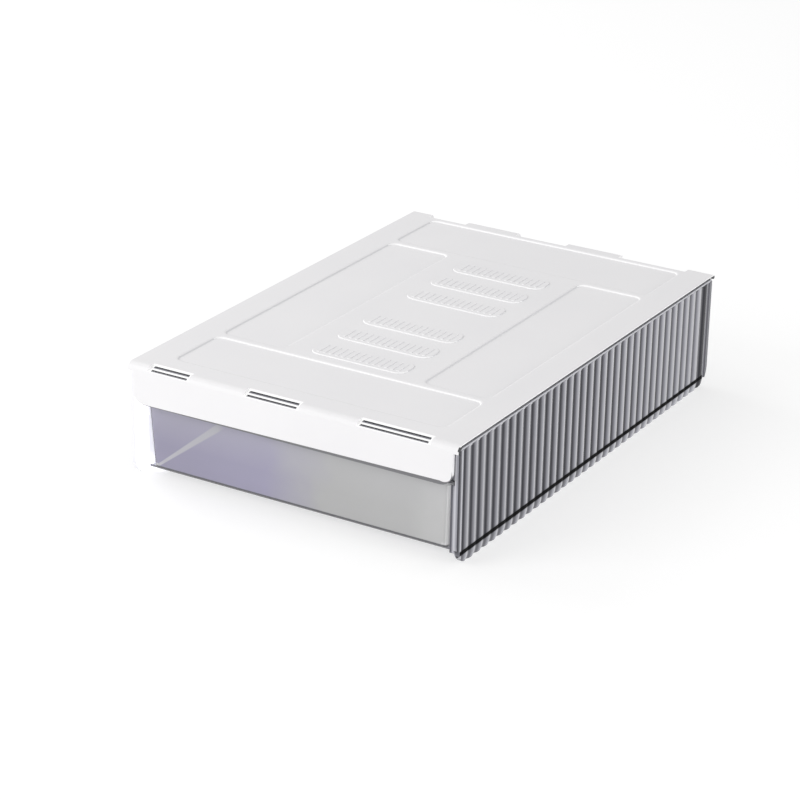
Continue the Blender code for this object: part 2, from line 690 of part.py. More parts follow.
def lugs():
    """The two lugs on the rim that meet the side plates' stops when the tray is pulled out."""
    outer = SIDE_INNER - RAIL_REACH - RUNNING_GAP
    start = TRAY_REAR - LUG_INSET
    pieces = []
    for side in (-1, 1):
        x_ends = sorted((side * (outer - LUG_THICKNESS), side * outer))
        low = (x_ends[0], start, RIM_TOP - ROOT)
        high = (x_ends[1], start + LUG_LENGTH, RIM_TOP + LUG_HEIGHT)
        pieces.append(block("lug", low, high, shaping))
    return pieces


def make_tray():
    tray = object_from("drawer_tray", open_mesh_from("drawer_tray", tray_surface(), -1), parts)
    shell = tray.modifiers.new("Wall", "SOLIDIFY")
    shell.thickness = TRAY_WALL
    shell.offset = -1
    shell.use_even_offset = True
    combine(tray, "UNION", lugs())
    settle(tray)
    finish_piece(tray, material("Clear tray plastic", CLEAR_TRAY_PLASTIC, 0.12, 0.6))


clear_scene()
parts = new_collection("Storage drawer", bpy.context.scene.collection)
shaping = new_collection("Cutters and joined shapes", bpy.context.scene.collection)
make_cover()
make_side_plates()
make_base_plate()
make_back_plate()
make_tray()
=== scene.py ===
# %% [markdown]
# # A storage drawer with a white cover and clear, fluted sides
#
# This is a low kitchen drawer that stands on a shelf. Six mouldings make it: a white cover, two fluted side
# plates, a base plate, a back plate, and a clear tray that pulls out under the cover's apron. Their shapes
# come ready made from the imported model. This lesson gives them their finishes, a floor, some light and a
# camera.

# %% Load the frame
import math

import bpy
from mathutils import Matrix, Vector


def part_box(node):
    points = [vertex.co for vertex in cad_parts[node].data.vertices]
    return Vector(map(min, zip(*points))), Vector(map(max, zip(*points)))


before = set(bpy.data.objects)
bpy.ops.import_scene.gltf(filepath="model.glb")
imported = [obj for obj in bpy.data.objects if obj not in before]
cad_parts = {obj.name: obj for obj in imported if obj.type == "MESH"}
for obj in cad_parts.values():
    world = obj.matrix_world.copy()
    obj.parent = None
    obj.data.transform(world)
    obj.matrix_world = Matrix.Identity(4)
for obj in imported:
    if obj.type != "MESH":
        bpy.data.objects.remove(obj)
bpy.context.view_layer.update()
scene = bpy.context.scene
print("pieces:", ", ".join(sorted(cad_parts)))

# %% [markdown]
# ## Helpers for colours, sizes and nodes
#
# Paint and plastic colours are usually written as sRGB hex values, as a colour picker gives them. Blender's
# shaders work in linear light, so one function turns the one into the other. Its numbers are those of the
# sRGB standard.
#
# A pattern is easiest to size in millimetres. Blender's noise has about one bump in 1/scale metres when it
# reads object coordinates, so a bump of so many millimetres is a scale of 1000 over that number.
#
# Every material below is a small tree of nodes. One function adds a node, sets it, and links it, so that a
# material reads as a list of steps.


# %% Colours, sizes and nodes
def linear(hex_colour):
    """An sRGB hex value as linear (red, green, blue, 1)."""
    channels = [int(hex_colour[place : place + 2], 16) / 255 for place in (1, 3, 5)]
    return (*(c / 12.92 if c <= 0.04045 else ((c + 0.055) / 1.055) ** 2.4 for c in channels), 1.0)


def per_bump(millimetres):
    """The noise scale whose bumps are this far apart."""
    return 1000 / millimetres


def add_node(tree, kind, sockets=None, stops=None, **settings):
    """Adds a node and sets it. A socket takes a value or the output it is linked to. Stops colour a ramp."""
    node = tree.nodes.new(kind)
    for name, value in settings.items():
        setattr(node, name, value)
    for name, value in (sockets or {}).items():
        if isinstance(value, bpy.types.NodeSocket):
            tree.links.new(value, node.inputs[name])
        else:
            node.inputs[name].default_value = value
    for number, (position, colour) in enumerate(stops or []):
        ramp = node.color_ramp.elements
        stop = ramp[number] if number < 2 else ramp.new(position)
        stop.position, stop.color = position, linear(colour)
    return node


print("mid grey in linear light:", [round(c, 3) for c in linear("#808080")])

# %% [markdown]
# ## Masks
#
# A mask is a number from 0 to 1 that says where a colour goes. The one below is a band: it is 1 between two
# places and fades to 0 over a soft edge. Bands are multiplied to keep what lies in both, and the larger of
# two is taken to keep what lies in either. The edges come in a few widths, from a hair to a blur.

# %% A band with soft edges
HAIR = 0.0001
CRISP = 0.0002
NEAT = 0.0003
FIRM = 0.0004
EVEN = 0.0005
SOFT = 0.0006
BLURRED = 0.001
# A metre is beyond the drawer on every side, for a band that is open at one end.
FAR = 1.0


def band(tree, place, low, high, soft):
    """A mask: 1 where a coordinate in metres lies between low and high, fading to 0 over a soft edge."""
    rise = add_node(tree, "ShaderNodeMapRange", {"Value": place, "From Min": low - soft, "From Max": low})
    fall = add_node(tree, "ShaderNodeMapRange", {"Value": place, "From Min": high + soft, "From Max": high})
    both = {0: rise.outputs["Result"], 1: fall.outputs["Result"]}
    return add_node(tree, "ShaderNodeMath", both, operation="MULTIPLY").outputs[0]


print("mask edges are", 1000 * HAIR, "to", 1000 * BLURRED, "mm wide")

# %% [markdown]
# ## A material with nothing in it yet
#
# A new material starts with one Principled BSDF and the output. The helper below makes it, sets the values
# that are the same all over the surface on the shader's own sockets, and hands back the tree to add to.


# %% Start a material, and dress a piece in it
def plastic(name, values):
    """A new material, its node tree and its shader, with the values that are the same all over."""
    made = bpy.data.materials.new(name)
    made.use_nodes = True
    tree = made.node_tree
    shader = tree.nodes["Principled BSDF"]
    for socket, value in values.items():
        shader.inputs[socket].default_value = value
    return made, tree, shader


def dress(node_name, finish):
    """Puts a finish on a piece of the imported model."""
    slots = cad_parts[node_name].material_slots
    for slot in slots:
        slot.material = finish
    print(node_name, "wears", finish.name, "in", len(slots), "slot")


# %% [markdown]
# ## The cover: matt white polypropylene
#
# The cover is injection moulded in white polypropylene. A fine grain in the mould makes the plastic matt and
# soft to the eye: an IOR of 1.49 and a roughness near 0.45. Such a grain is about 0.3 mm, which is too fine
# to show from here, so it is drawn at 0.8 mm and very shallow. A slow cloud of 60 mm varies the gloss a
# little, as handling does.

# %% White polypropylene
WHITE = "#F0EFF0"
WHITE_SHADE = "#EAE9EB"
GRAIN_MM = 0.8
GRAIN_DEPTH = 0.0002
GRAIN_STRENGTH = 0.12
CLOUD_MM = 60
DULLEST_WHITE, GLOSSIEST_WHITE = 0.5, 0.38
POCKET_GLINT = 0.04

white_pp, tree, shader = plastic(
    "White polypropylene, moulded, fine grain",
    {"IOR": 1.49, "Metallic": 0.0, "Emission Strength": POCKET_GLINT},
)
place = add_node(tree, "ShaderNodeTexCoord").outputs["Object"]
cloud = add_node(tree, "ShaderNodeTexNoise", {"Vector": place, "Scale": per_bump(CLOUD_MM), "Detail": 2.0})
grain = add_node(tree, "ShaderNodeTexNoise", {"Vector": place, "Scale": per_bump(GRAIN_MM), "Detail": 3.0})
white = add_node(
    tree,
    "ShaderNodeMix",
    {0: cloud.outputs["Fac"], 6: linear(WHITE), 7: linear(WHITE_SHADE)},
    data_type="RGBA",
)
gloss = add_node(
    tree,
    "ShaderNodeMapRange",
    {"Value": cloud.outputs["Fac"], "To Min": GLOSSIEST_WHITE, "To Max": DULLEST_WHITE},
)
bump = add_node(
    tree,
    "ShaderNodeBump",
    {"Height": grain.outputs["Fac"], "Strength": GRAIN_STRENGTH, "Distance": GRAIN_DEPTH},
)
tree.links.new(gloss.outputs["Result"], shader.inputs["Roughness"])
tree.links.new(bump.outputs["Normal"], shader.inputs["Normal"])
print("the cover's roughness runs from", GLOSSIEST_WHITE, "to", DULLEST_WHITE)

# %% [markdown]
# ## Painted shade and highlights on the cover
#
# The photograph shows some places darker than traced light makes them, so shade is painted into the colour
# there, by masks made from the cover's own measures. One takes the walls of the slits, which are the points
# that lie under the sloping floor of the pockets. One takes the rims of the slits. One takes the gap under
# the cover's thin side lip and its end. One takes a band along the apron's foot, painted greyer towards the
# right, which follows the corner there. A last one takes the pockets' own floors, which the photograph shows
# brighter: they get a painted highlight and a faint painted glow.

# %% Places on the cover
COVER_TOP = 0.081
COVER_LENGTH = 0.355
COVER_WIDTH = 0.242
COVER_END = COVER_LENGTH / 2
POCKET_REACH = 0.0075
POCKET_DROP = 0.0032
POCKET_END_SHARES = ((-0.436, -0.308), (-0.136, 0.031), (0.2045, 0.4195))

axes = add_node(tree, "ShaderNodeSeparateXYZ", {"Vector": place})
beside = add_node(tree, "ShaderNodeMath", {0: axes.outputs["X"]}, operation="ABSOLUTE").outputs[0]
fore_aft = add_node(tree, "ShaderNodeMath", {0: axes.outputs["Y"]}, operation="ABSOLUTE").outputs[0]
slope = math.atan2(POCKET_DROP, POCKET_REACH)
pocket_start = COVER_END - POCKET_REACH
raised = add_node(
    tree,
    "ShaderNodeMath",
    {0: axes.outputs["Z"], 1: math.cos(slope), 2: -COVER_TOP * math.cos(slope)},
    operation="MULTIPLY_ADD",
)
# The height over a plane that slopes as the pockets' floors do. On the floors it is floor_level.
floor_gap = add_node(
    tree,
    "ShaderNodeMath",
    {0: fore_aft, 1: math.sin(slope), 2: raised.outputs[0]},
    operation="MULTIPLY_ADD",
).outputs[0]
floor_level = pocket_start * math.sin(slope)
print("the pockets slope down at", round(math.degrees(slope), 1), "degrees")

# %% Painted shade on the walls of the slits
SLIT_WALL_TOP = 0.0004
SLIT_WALL_FOOT = 0.006
SLIT_FRONT_GAP = 0.0008
SLITS_END = 0.108

in_slit = add_node(
    tree,
    "ShaderNodeMath",
    {
        0: band(tree, floor_gap, floor_level - SLIT_WALL_FOOT, floor_level - SLIT_WALL_TOP, CRISP),
        1: band(tree, fore_aft, pocket_start, COVER_END - SLIT_FRONT_GAP, CRISP),
    },
    operation="MULTIPLY",
)
slits = add_node(
    tree,
    "ShaderNodeMath",
    {0: in_slit.outputs[0], 1: band(tree, beside, -FAR, SLITS_END, BLURRED)},
    operation="MULTIPLY",
)
print("slit walls are shaded", 1000 * SLIT_WALL_TOP, "to", 1000 * SLIT_WALL_FOOT, "mm under the floor")

# %% Painted shade in the gap under the side lip, and a darker spot of it at the lip's front end
LIP_THICKNESS = 0.0007
LIP_UNDERSIDE = COVER_TOP - LIP_THICKNESS
GAP_INNER = 0.1188
GAP_DROPS = (0.0025, 0.0001)
GAP_FRONT_GAP = 0.0038
HOLE_INNER = 0.1203
HOLE_DROPS = (0.0045, 0.0002)
HOLE_REACH = (0.0042, 0.0005)

in_gap = add_node(
    tree,
    "ShaderNodeMath",
    {
        0: band(
            tree, axes.outputs["Z"], LIP_UNDERSIDE - GAP_DROPS[0], LIP_UNDERSIDE - GAP_DROPS[1], HAIR
        ),
        1: band(tree, beside, GAP_INNER, FAR, CRISP),
    },
    operation="MULTIPLY",
)
gap = add_node(
    tree,
    "ShaderNodeMath",
    {0: in_gap.outputs[0], 1: band(tree, fore_aft, -FAR, COVER_END - GAP_FRONT_GAP, CRISP)},
    operation="MULTIPLY",
)
lip_end = add_node(
    tree,
    "ShaderNodeMath",
    {
        0: band(
            tree, axes.outputs["Z"], LIP_UNDERSIDE - HOLE_DROPS[0], LIP_UNDERSIDE - HOLE_DROPS[1], HAIR
        ),
        1: band(tree, axes.outputs["X"], HOLE_INNER, FAR, HAIR),
    },
    operation="MULTIPLY",
)
gap_end = add_node(
    tree,
    "ShaderNodeMath",
    {
        0: lip_end.outputs[0],
        1: band(tree, fore_aft, COVER_END - HOLE_REACH[0], COVER_END - HOLE_REACH[1], CRISP),
    },
    operation="MULTIPLY",
)
gap_shade = add_node(tree, "ShaderNodeMath", {0: gap.outputs[0], 1: gap_end.outputs[0]}, operation="MAXIMUM")
print("the lip's underside is at z =", round(1000 * LIP_UNDERSIDE, 1), "mm")

# %% Painted shade along the apron's foot
APRON_DROP = 0.0269
APRON_BOTTOM = COVER_TOP - APRON_DROP
APRON_HALF = 0.1173
APRON_CORNER_RADIUS = 0.0085
APRON_SIDE_GAP = 0.0003
FRONT_REACH = 0.004
FOOT_FROM, FOOT_TO = -0.12, 0.11
FOOT_WIDTHS = (0.0002, 0.0025)
NARROWEST_SHARE = 0.2
NARROWEST_GAP = 0.002
FOOT_FADE = 0.002

# A band along the apron's foot is painted in shade, wider towards the right, and follows the rounded corner
# there.
past_corner = add_node(
    tree,
    "ShaderNodeMapRange",
    {
        "Value": axes.outputs["X"],
        "From Min": APRON_HALF - APRON_CORNER_RADIUS,
        "From Max": APRON_HALF,
        "To Max": APRON_CORNER_RADIUS,
    },
)
below_corner = add_node(
    tree,
    "ShaderNodeMapRange",
    {
        "Value": axes.outputs["Z"],
        "From Min": APRON_BOTTOM + APRON_CORNER_RADIUS,
        "From Max": APRON_BOTTOM,
        "To Max": APRON_CORNER_RADIUS,
    },
)
both_ways = add_node(
    tree, "ShaderNodeCombineXYZ", {"X": past_corner.outputs["Result"], "Y": below_corner.outputs["Result"]}
)
from_centre = add_node(tree, "ShaderNodeVectorMath", {0: both_ways.outputs[0]}, operation="LENGTH")
darkened = add_node(
    tree,
    "ShaderNodeMapRange",
    {
        "Value": axes.outputs["X"],
        "From Min": FOOT_FROM,
        "From Max": FOOT_TO,
        "To Min": FOOT_WIDTHS[0],
        "To Max": FOOT_WIDTHS[1],
    },
)
narrowed = add_node(
    tree,
    "ShaderNodeMapRange",
    {
        "Value": axes.outputs["X"],
        "From Min": APRON_HALF - APRON_CORNER_RADIUS,
        "From Max": APRON_HALF - NARROWEST_GAP,
        "To Min": 1.0,
        "To Max": NARROWEST_SHARE,
    },
)
foot_width = add_node(
    tree, "ShaderNodeMath", {0: darkened.outputs["Result"], 1: narrowed.outputs["Result"]}, operation="MULTIPLY"
)
reach = add_node(
    tree, "ShaderNodeMath", {0: APRON_CORNER_RADIUS, 1: foot_width.outputs[0]}, operation="SUBTRACT"
)
near_edge = add_node(
    tree, "ShaderNodeMath", {0: from_centre.outputs["Value"], 1: reach.outputs[0]}, operation="GREATER_THAN"
)
low_on_apron = add_node(
    tree,
    "ShaderNodeMath",
    {
        0: band(tree, axes.outputs["X"], -FAR, APRON_HALF - APRON_SIDE_GAP, CRISP),
        1: band(tree, axes.outputs["Z"], 0, APRON_BOTTOM + APRON_CORNER_RADIUS, FOOT_FADE),
    },
    operation="MULTIPLY",
)
in_front = add_node(
    tree,
    "ShaderNodeMath",
    {0: low_on_apron.outputs[0], 1: band(tree, axes.outputs["Y"], -FAR, FRONT_REACH - COVER_END, CRISP)},
    operation="MULTIPLY",
)
foot = add_node(
    tree, "ShaderNodeMath", {0: near_edge.outputs[0], 1: in_front.outputs[0]}, operation="MULTIPLY"
)
print("the turned edge is", 1000 * FOOT_WIDTHS[0], "to", 1000 * FOOT_WIDTHS[1], "mm wide")


# %% Painted highlight on the pockets' floors, and painted shade at the rims of their slits
FLOOR_SKIN = 0.0001
FLOOR_START = 0.0004
SLIT_MARGIN = 0.002
SLIT_RIMS = ((0.0026, 0.0036), (0.0061, 0.0066))


def between_ends(tree, place, margin):
    """A mask: 1 between the ends of each pocket, less a margin at each end."""
    found = 0.0
    for left, right in POCKET_END_SHARES:
        pocket = band(tree, place, COVER_WIDTH * left + margin, COVER_WIDTH * right - margin, NEAT)
        found = add_node(tree, "ShaderNodeMath", {0: pocket, 1: found}, operation="MAXIMUM").outputs[0]
    return found


near_floor = add_node(
    tree,
    "ShaderNodeMath",
    {
        0: band(tree, floor_gap, floor_level - FLOOR_SKIN, floor_level + FLOOR_SKIN, HAIR),
        1: band(tree, fore_aft, pocket_start + FLOOR_START, COVER_END, CRISP),
    },
    operation="MULTIPLY",
)
on_floor = add_node(
    tree,
    "ShaderNodeMath",
    {0: near_floor.outputs[0], 1: between_ends(tree, axes.outputs["X"], 0.0)},
    operation="MULTIPLY",
)
rims = 0.0
for rim_start, rim_end in SLIT_RIMS:
    rim = band(tree, fore_aft, pocket_start + rim_start, pocket_start + rim_end, CRISP)
    rims = add_node(tree, "ShaderNodeMath", {0: rim, 1: rims}, operation="MAXIMUM").outputs[0]
by_slit = add_node(
    tree,
    "ShaderNodeMath",
    {0: rims, 1: between_ends(tree, axes.outputs["X"], SLIT_MARGIN)},
    operation="MULTIPLY",
)
slit_rim_shade = add_node(
    tree, "ShaderNodeMath", {0: near_floor.outputs[0], 1: by_slit.outputs[0]}, operation="MULTIPLY"
)
print("pockets:", len(POCKET_END_SHARES), "and slit rims in each:", len(SLIT_RIMS))

# %% [markdown]
# ## The walls of the panels
#
# The top is pressed in by a millimetre in four panels. Their walls are so low that they read as thin lines.
# The ones that face the front or the left are painted bright, and the ones that face the right grey. The
# surface's own normal tells which way a wall faces, so no camera is needed for that.

# %% Which walls are bright and which are grey
PANEL_WALL_DEPTHS = (0.0008, 0.0004)
RIM_RISE = 0.0001
PANELS_END_GAP = 0.010
LEANS = 0.2
LEAN_FADE = 0.05

facing = add_node(
    tree, "ShaderNodeSeparateXYZ", {"Vector": add_node(tree, "ShaderNodeNewGeometry").outputs["True Normal"]}
)
part_way_down = band(
    tree, axes.outputs["Z"], COVER_TOP - PANEL_WALL_DEPTHS[0], COVER_TOP - PANEL_WALL_DEPTHS[1], CRISP
)
raised_rim = band(tree, axes.outputs["Z"], COVER_TOP + RIM_RISE, FAR, HAIR)
on_wall = add_node(tree, "ShaderNodeMath", {0: part_way_down, 1: raised_rim}, operation="MAXIMUM")
on_top = add_node(
    tree,
    "ShaderNodeMath",
    {0: on_wall.outputs[0], 1: band(tree, fore_aft, -FAR, COVER_END - PANELS_END_GAP, EVEN)},
    operation="MULTIPLY",
)
to_light = add_node(
    tree,
    "ShaderNodeMath",
    {
        0: band(tree, facing.outputs["Y"], -1, -LEANS, LEAN_FADE),
        1: band(tree, facing.outputs["X"], -1, -LEANS, LEAN_FADE),
    },
    operation="MAXIMUM",
)
lit_wall = add_node(
    tree, "ShaderNodeMath", {0: to_light.outputs[0], 1: on_top.outputs[0]}, operation="MULTIPLY"
)
from_light = band(tree, facing.outputs["X"], LEANS, 1, LEAN_FADE)
shaded_wall = add_node(tree, "ShaderNodeMath", {0: from_light, 1: on_top.outputs[0]}, operation="MULTIPLY")
bright = add_node(
    tree, "ShaderNodeMath", {0: on_floor.outputs[0], 1: lit_wall.outputs[0]}, operation="MAXIMUM"
)
print("a wall counts as leaning from", round(math.degrees(math.asin(LEANS))), "degrees")

# %% Colour of the cover
# Each layer covers the ones before it where its mask holds. The layers are painted shade on the panel walls
# that face the right, painted highlights on the walls that face the front or the left and on the pockets'
# floors, and painted shade at the slits' rims, in the slits, in the gap under the side lip and along the
# apron's foot.
COVER_LAYERS = (
    (shaded_wall, "#DADADC"),
    (bright, "#FFFFFF"),
    (slit_rim_shade, "#6A6A72"),
    (slits, "#3A3A40"),
    (gap_shade, "#26262A"),
    (foot, "#727275"),
)
paint = white.outputs[2]
for mask, colour in COVER_LAYERS:
    layer = {0: mask.outputs[0], 6: paint, 7: linear(colour)}
    paint = add_node(tree, "ShaderNodeMix", layer, data_type="RGBA").outputs[2]
# The pockets' floors also get a faint painted glow.
glint = add_node(
    tree,
    "ShaderNodeMix",
    {0: on_floor.outputs[0], 6: linear("#000000"), 7: linear("#FFFFFF")},
    data_type="RGBA",
)
tree.links.new(glint.outputs[2], shader.inputs["Emission Color"])
tree.links.new(paint, shader.inputs["Base Color"])
dress("top_cover", white_pp)

# %% [markdown]
# ## The side plates: clear styrene with a grey tint
#
# The side plates are moulded in a clear styrene (SAN) with a faint lavender-grey tint, an IOR of 1.57 and a
# polished face. Each flute is a small lens, pale where it sends light to the eye and dark in the groove
# beside it. A ray tracer needs very many samples to find such stripes, so they are written into the colour,
# which therefore stays mostly on the surface, with little light going through.
#
# What a lens shows depends on where one looks from. The stripes here are the ones of the photograph's view,
# fixed to the plate: they are 0.9% closer together than the flutes, and darken towards the rear. The skin's
# own ripple is drawn 4 mm wide and very shallow.

# %% Where the flutes are, in metres
FLUTE_PITCH = 0.00944
STRIPE_PITCH = 0.991 * FLUTE_PITCH
PLAIN_MARGIN = 0.0047
STRIPE_SHIFT = 0.0006
PLATE_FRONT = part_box("side_plate_right")[0].y
PLATE_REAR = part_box("side_plate_right")[1].y
PLATE_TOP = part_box("side_plate_right")[1].z
PLATE_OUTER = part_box("side_plate_right")[1].x
FLUTE_START = PLATE_FRONT + PLAIN_MARGIN
STRIPE_START = FLUTE_START + STRIPE_SHIFT
print("flutes start at y =", round(1000 * FLUTE_START, 1), "mm, and one is", 1000 * FLUTE_PITCH, "mm wide")

# %% Colours of the side plates
# The painted light and shade across one flute, from the groove in front of it to the next groove, as the
# photograph's view has it near the front. Near the rear that view meets the flutes flatter, and the dark part
# is narrower and deeper.
FLUTE_COLOURS_FRONT = [
    (0.0, "#68686E"),
    (0.08, "#444449"),
    (0.15, "#36363C"),
    (0.24, "#5E5E64"),
    (0.37, "#808087"),
    (0.53, "#9A9AA1"),
    (0.66, "#B4B4B9"),
    (0.76, "#CECED2"),
    (0.85, "#CCCCD0"),
    (0.93, "#9A9A9E"),
    (1.0, "#68686E"),
]
FLUTE_COLOURS_REAR = [
    (0.0, "#3E3E44"),
    (0.08, "#1C1C20"),
    (0.15, "#0E0E12"),
    (0.22, "#28282E"),
    (0.34, "#72727A"),
    (0.5, "#A2A2A9"),
    (0.62, "#B2B2B8"),
    (0.74, "#BCBCC0"),
    (0.84, "#9C9CA0"),
    (0.92, "#6A6A70"),
    (1.0, "#3E3E44"),
]
# The painted light and shade of the last stretch before the plate's rear end, where the back plate's edge
# shows through as a dark line.
REAR_COLOURS = [
    (0.0, "#66666B"),
    (0.12, "#2C2C32"),
    (0.28, "#2C2C32"),
    (0.42, "#58585E"),
    (0.52, "#7C7C82"),
    (0.64, "#9A9AA0"),
    (0.76, "#929298"),
    (0.88, "#66666C"),
    (1.0, "#66666C"),
]
# The colour across the front of the right plate, the rib that frames the opening and then the plate's own
# edge, with light and shade painted in: dark by the gap, pale, then dark at the outer edge.
FACE_COLOURS = [
    (0.0, "#5E5E66"),
    (0.15, "#6A6A72"),
    (0.24, "#C0C0C8"),
    (0.62, "#D4D4DA"),
    (0.72, "#C6C6CC"),
    (0.77, "#A6A6AE"),
    (0.86, "#9E9EA6"),
    (0.91, "#38383E"),
    (1.0, "#48484E"),
]
# The painted light and shade along the plain margin in front of the first flute.
MARGIN_COLOURS = [
    (0.0, "#4C4C52"),
    (0.12, "#505056"),
    (0.34, "#76767E"),
    (0.55, "#C0C0C6"),
    (0.66, "#BCBCC2"),
    (0.87, "#707077"),
    (1.0, "#4E4E54"),
]
# Painted light and shade: the left plate's inner face and front are painted pale and the right plate's inner
# face grey, the foot paler where the floor shows through, the edge behind the wall black, and a pale band
# along the top edge as a painted highlight.
INSIDE_LEFT = "#EEEEF4"
INSIDE_RIGHT = "#A4A4AC"
FRONT_FACE_LEFT = "#F4F4F8"
FOOT_PALE = "#D8D8DE"
EDGE_BLACK = "#040405"
TOP_EDGE_GREY = "#BCBCC2"
print("a flute takes", len(FLUTE_COLOURS_FRONT), "colours across")

# %% Clear grey styrene, with its stripes
THROUGH_LIGHT = 0.7
REAR_STRETCH = 0.013
MARGIN_ROOM = 0.01

side_san, tree, shader = plastic(
    "Clear styrene, grey tint, fluted side",
    {
        "IOR": 1.57,
        "Metallic": 0.0,
        "Transmission Weight": 0.1,
        "Specular IOR Level": 0.2,
        "Emission Strength": THROUGH_LIGHT,
    },
)
place = add_node(tree, "ShaderNodeTexCoord").outputs["Object"]
axes = add_node(tree, "ShaderNodeSeparateXYZ", {"Vector": place})
flutes = add_node(
    tree,
    "ShaderNodeMath",
    {0: axes.outputs["Y"], 1: 1 / STRIPE_PITCH, 2: -STRIPE_START / STRIPE_PITCH},
    operation="MULTIPLY_ADD",
)
phase = add_node(tree, "ShaderNodeMath", {0: flutes.outputs[0]}, operation="FRACT")
front_stripes = add_node(tree, "ShaderNodeValToRGB", {"Fac": phase.outputs[0]}, FLUTE_COLOURS_FRONT)
rear_stripes = add_node(tree, "ShaderNodeValToRGB", {"Fac": phase.outputs[0]}, FLUTE_COLOURS_REAR)
to_rear = add_node(
    tree,
    "ShaderNodeMapRange",
    {"Value": axes.outputs["Y"], "From Min": PLATE_FRONT, "From Max": PLATE_REAR - REAR_STRETCH},
)
stripes = add_node(
    tree,
    "ShaderNodeMix",
    {0: to_rear.outputs["Result"], 6: front_stripes.outputs["Color"], 7: rear_stripes.outputs["Color"]},
    data_type="RGBA",
)
along = add_node(
    tree,
    "ShaderNodeMapRange",
    {"Value": axes.outputs["Y"], "From Min": PLATE_FRONT, "From Max": FLUTE_START},
)
margin = add_node(tree, "ShaderNodeValToRGB", {"Fac": along.outputs["Result"]}, MARGIN_COLOURS)
in_margin = band(tree, axes.outputs["Y"], PLATE_FRONT - MARGIN_ROOM, FLUTE_START, HAIR)
print("a stripe is", round(1000 * STRIPE_PITCH, 2), "mm wide")

# %% [markdown]
# ## What is seen through the side plate
#
# Two edges stand behind the wall: the base plate's along the bottom and the back plate's at the rear. A clear
# plate seen edge-on lets no light out, so each one reads as a black line, which is painted here as shade on
# the wall's outer face. Someone who looks down from the front sees such an edge a few millimetres higher on
# the wall's outer face. Below the base plate's line the foot is painted paler, as the floor shows through
# there.
#
# The line is cut into the wavy wall by a plane that slopes as the photograph's line of sight does, 0.83 mm
# for each millimetre of depth. It looks straight from there, as the real edge does. The price is that it
# looks wavy from straight beside the drawer. Clearer plastic could show the base plate's own edge instead,
# and would need more samples.

# %% Painted dark lines of the edges behind the wall, the paler foot and the top edge
SIGHT_FALL = 0.83
SIGHT_TILT = 0.0028
FOOT_IN_SIGHT = 0.0064
FOOT_PALER = 0.16
BASE_LINE = (0.0073, 0.0098)
BASE_LINE_FRONT_GAP = 0.0022
BASE_LINE_REAR_GAP = 0.0065
TOP_EDGE = 0.0009

beside = add_node(tree, "ShaderNodeMath", {0: axes.outputs["X"]}, operation="ABSOLUTE").outputs[0]
tilted = add_node(
    tree,
    "ShaderNodeMath",
    {0: axes.outputs["Y"], 1: SIGHT_TILT, 2: axes.outputs["Z"]},
    operation="MULTIPLY_ADD",
)
sloped = add_node(
    tree,
    "ShaderNodeMath",
    {0: beside, 1: -SIGHT_FALL, 2: tilted.outputs[0]},
    operation="MULTIPLY_ADD",
)
in_sight = add_node(
    tree, "ShaderNodeMath", {0: sloped.outputs[0], 1: PLATE_OUTER * SIGHT_FALL - PLATE_FRONT * SIGHT_TILT}
).outputs[0]
foot = band(tree, in_sight, -FAR, FOOT_IN_SIGHT, SOFT)
paler = add_node(tree, "ShaderNodeMath", {0: foot, 1: FOOT_PALER}, operation="MULTIPLY")
behind_base = band(tree, in_sight, *BASE_LINE, SOFT)
base_length = band(
    tree, axes.outputs["Y"], PLATE_FRONT + BASE_LINE_FRONT_GAP, PLATE_REAR - BASE_LINE_REAR_GAP, EVEN
)
base_line = add_node(tree, "ShaderNodeMath", {0: behind_base, 1: base_length}, operation="MULTIPLY")
in_stretch = band(tree, axes.outputs["Y"], PLATE_REAR - REAR_STRETCH, FAR, NEAT)
along_stretch = add_node(
    tree,
    "ShaderNodeMapRange",
    {"Value": axes.outputs["Y"], "From Min": PLATE_REAR - REAR_STRETCH, "From Max": PLATE_REAR},
)
stretch = add_node(tree, "ShaderNodeValToRGB", {"Fac": along_stretch.outputs["Result"]}, REAR_COLOURS)
top_edge = band(tree, axes.outputs["Z"], PLATE_TOP - TOP_EDGE, PLATE_TOP, NEAT)
print("the base line is", round(1000 * (BASE_LINE[1] - BASE_LINE[0]), 1), "mm wide")

# %% The inner face and the front of the plates
# The outer face, whose flutes are 1.2 mm deep, lies within the outermost 2.5 mm.
OUTER_FACE_ROOM = 0.0025
SIDES_FADE = 0.01
RIB_END = 0.1120
RIB_SETBACK = 0.0051
RIB_OUTER_GAP = 0.0036
FACE_SKIN = 0.0004
LEFT_FACE_DEPTH = 0.005

outside = band(tree, beside, PLATE_OUTER - OUTER_FACE_ROOM, FAR, FIRM)
at_right = band(tree, axes.outputs["X"], 0, FAR, SIDES_FADE)
inside = add_node(
    tree,
    "ShaderNodeMix",
    {0: at_right, 6: linear(INSIDE_LEFT), 7: linear(INSIDE_RIGHT)},
    data_type="RGBA",
)
across_face = add_node(
    tree,
    "ShaderNodeMapRange",
    {"Value": axes.outputs["X"], "From Min": RIB_END, "From Max": PLATE_OUTER},
)
face = add_node(tree, "ShaderNodeValToRGB", {"Fac": across_face.outputs["Result"]}, FACE_COLOURS)
face_colour = add_node(
    tree,
    "ShaderNodeMix",
    {0: at_right, 6: linear(FRONT_FACE_LEFT), 7: face.outputs["Color"]},
    data_type="RGBA",
)
on_rib = band(tree, axes.outputs["X"], 0, PLATE_OUTER - RIB_OUTER_GAP, HAIR)
right_depth = add_node(
    tree,
    "ShaderNodeMapRange",
    {
        "Value": on_rib,
        "To Min": PLATE_FRONT + FACE_SKIN,
        "To Max": PLATE_FRONT + RIB_SETBACK + FACE_SKIN,
    },
)
face_depth = add_node(
    tree,
    "ShaderNodeMapRange",
    {
        "Value": at_right,
        "To Min": PLATE_FRONT + LEFT_FACE_DEPTH,
        "To Max": right_depth.outputs["Result"],
    },
)
